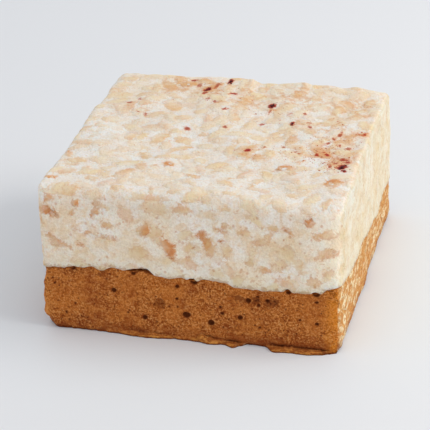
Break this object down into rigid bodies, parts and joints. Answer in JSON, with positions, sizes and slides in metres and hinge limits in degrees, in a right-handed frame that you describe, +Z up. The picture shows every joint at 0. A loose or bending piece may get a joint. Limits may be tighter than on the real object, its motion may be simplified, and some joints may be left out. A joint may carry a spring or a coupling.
{
  "type": "rice crispy cake",
  "caption": "Square traybake cake: puffed rice set in white marshmallow on a brown sponge base, with a scatter of red crumbs.",
  "frame": {"origin": "middle of the base, on the surface that the cake rests on", "axes": "+Z up through the layers, +X to the right along the front cut face, +Y from the front to the back"},
  "size_m": [0.0766, 0.08, 0.0393],
  "materials": {
    "marshmallow": "soft matte white marshmallow with tan puffed rice and dark red crumbs",
    "sponge": "fine brown sponge crumb with pores and a darker skin below"
  },
  "bodies": {
    "root": {"crispy_layer": "marshmallow", "sponge_base": "sponge"}
  },
  "joints": []
}
